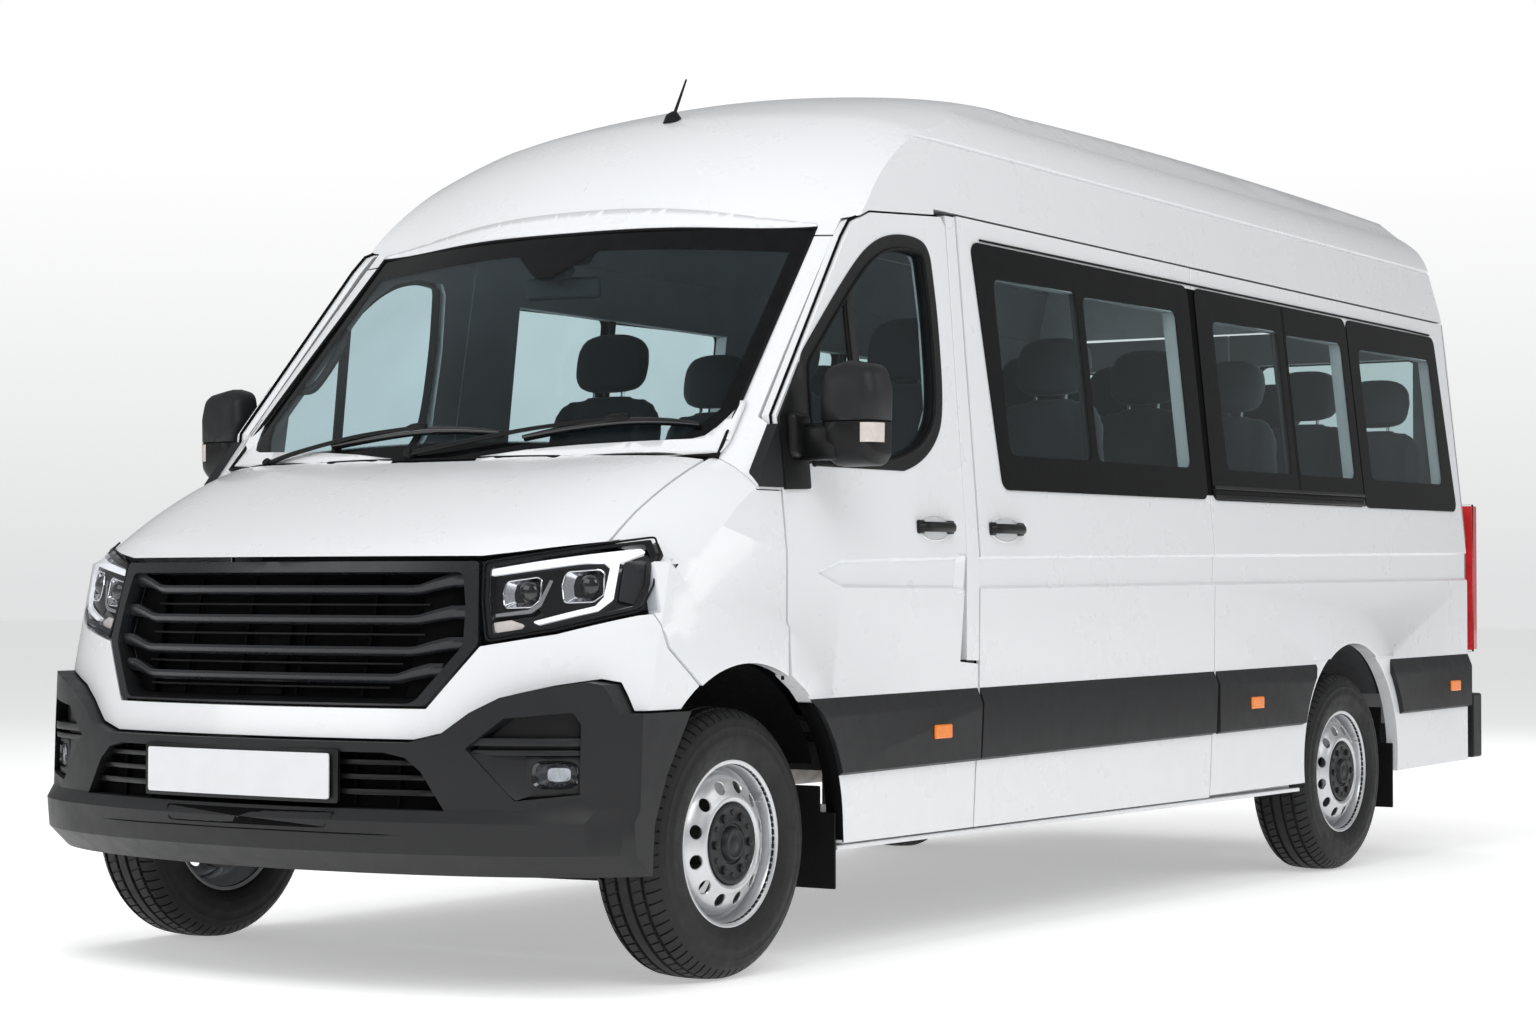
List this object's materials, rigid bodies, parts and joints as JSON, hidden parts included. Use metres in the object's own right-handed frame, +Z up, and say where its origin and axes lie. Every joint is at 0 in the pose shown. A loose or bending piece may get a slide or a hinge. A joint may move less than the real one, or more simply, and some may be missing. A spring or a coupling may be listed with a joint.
{
  "type": "high roof minibus",
  "caption": "Passenger minibus with a high roof, hinged cab and rear doors, fixed sliding side door, opening bonnet, steered front wheels and rows of seats.",
  "frame": {"origin": "on the ground under the middle of the vehicle", "axes": "+X to the left of the vehicle, +Y towards its rear, +Z up; it faces -Y"},
  "size_m": [2.432, 5.8819, 2.5491],
  "materials": {
    "body_paint": "gloss",
    "trim_plastic": "grained",
    "grille_plastic": "satin",
    "screen_glass": "clear",
    "tinted_glass": "tinted",
    "lamp_lens": "clear",
    "red_lens": "gloss",
    "floor_paint": "matte",
    "exhaust_steel": "dull",
    "chassis_steel": "satin",
    "engine_iron": "rough",
    "dash_plastic": "grained",
    "seat_fabric": "woven",
    "tyre_rubber": "matte",
    "wheel_steel": "silver paint"
  },
  "bodies": {
    "root": {"roof": "body_paint", "windscreen_frame": "body_paint", "windscreen": "screen_glass", "front_wings": "body_paint", "nose_panel": "body_paint", "grille": "grille_plastic", "headlights": "lamp_lens", "front_bumper": "trim_plastic", "bumper_inserts": "grille_plastic", "left_side_panel": "body_paint", "right_side_panel": "body_paint", "sliding_door": "body_paint", "side_cladding": "trim_plastic", "side_windows": "tinted_glass", "sills": "body_paint", "rear_frame": "body_paint", "rear_bumper": "trim_plastic", "tail_lights": "red_lens", "floor_pan": "floor_paint", "chassis": "chassis_steel", "fuel_tank": "trim_plastic", "exhaust": "exhaust_steel", "engine": "engine_iron", "wheel_liners": "grille_plastic", "mud_flaps": "grille_plastic", "front_axle": "chassis_steel", "rear_axle": "chassis_steel", "dashboard": "dash_plastic", "steering_wheel": "dash_plastic", "front_seats": "seat_fabric", "passenger_seats": "seat_fabric"},
    "left_cab_door": {"left_cab_door": "body_paint", "left_door_cladding": "trim_plastic", "left_cab_door_glass": "screen_glass", "left_mirror": "trim_plastic"},
    "right_cab_door": {"right_cab_door": "body_paint", "right_door_cladding": "trim_plastic", "right_cab_door_glass": "screen_glass", "right_mirror": "trim_plastic"},
    "left_rear_door": {"left_rear_door": "body_paint", "left_rear_door_glass": "tinted_glass"},
    "right_rear_door": {"right_rear_door": "body_paint", "right_rear_door_glass": "tinted_glass"},
    "bonnet": {"bonnet": "body_paint"},
    "left_knuckle": {"left_knuckle": "chassis_steel"},
    "right_knuckle": {"right_knuckle": "chassis_steel"},
    "left_front_wheel": {"left_front_tyre": "tyre_rubber", "left_front_wheel": "wheel_steel"},
    "right_front_wheel": {"right_front_tyre": "tyre_rubber", "right_front_wheel": "wheel_steel"},
    "left_rear_wheel": {"left_rear_tyre": "tyre_rubber", "left_rear_wheel": "wheel_steel"},
    "right_rear_wheel": {"right_rear_tyre": "tyre_rubber", "right_rear_wheel": "wheel_steel"}
  },
  "joints": [
    {"name": "left_cab_door_hinge", "type": "hinge", "parent": "root", "child": "left_cab_door", "pos_m": [0.985, -2.021, 1], "axis": [0, 0, -1], "range_deg": [0, 68]},
    {"name": "right_cab_door_hinge", "type": "hinge", "parent": "root", "child": "right_cab_door", "pos_m": [-0.985, -2.021, 1], "axis": [0, 0, 1], "range_deg": [0, 68]},
    {"name": "left_rear_door_hinge", "type": "hinge", "parent": "root", "child": "left_rear_door", "pos_m": [0.905, 2.857, 1.2], "axis": [0, 0, -1], "range_deg": [0, 180]},
    {"name": "right_rear_door_hinge", "type": "hinge", "parent": "root", "child": "right_rear_door", "pos_m": [-0.905, 2.857, 1.2], "axis": [0, 0, 1], "range_deg": [0, 180]},
    {"name": "bonnet_hinge", "type": "hinge", "parent": "root", "child": "bonnet", "pos_m": [0, -2.026, 1.375], "axis": [-1, 0, 0], "range_deg": [0, 50]},
    {"name": "left_steering", "type": "hinge", "parent": "root", "child": "left_knuckle", "pos_m": [0.745, -2.121, 0.348], "axis": [0, 0, 1], "range_deg": [-35, 35]},
    {"name": "right_steering", "type": "hinge", "parent": "root", "child": "right_knuckle", "pos_m": [-0.745, -2.121, 0.348], "axis": [0, 0, 1], "range_deg": [-35, 35]},
    {"name": "left_front_wheel_spin", "type": "hinge", "parent": "left_knuckle", "child": "left_front_wheel", "pos_m": [0.876, -2.121, 0.348], "axis": [1, 0, 0], "continuous": true},
    {"name": "right_front_wheel_spin", "type": "hinge", "parent": "right_knuckle", "child": "right_front_wheel", "pos_m": [-0.876, -2.121, 0.348], "axis": [1, 0, 0], "continuous": true},
    {"name": "left_rear_wheel_spin", "type": "hinge", "parent": "root", "child": "left_rear_wheel", "pos_m": [0.876, 1.654, 0.348], "axis": [1, 0, 0], "continuous": true},
    {"name": "right_rear_wheel_spin", "type": "hinge", "parent": "root", "child": "right_rear_wheel", "pos_m": [-0.876, 1.654, 0.348], "axis": [1, 0, 0], "continuous": true}
  ],
  "couplings": [
    {"joint": "right_steering", "follows": "left_steering", "ratio": 1}
  ]
}
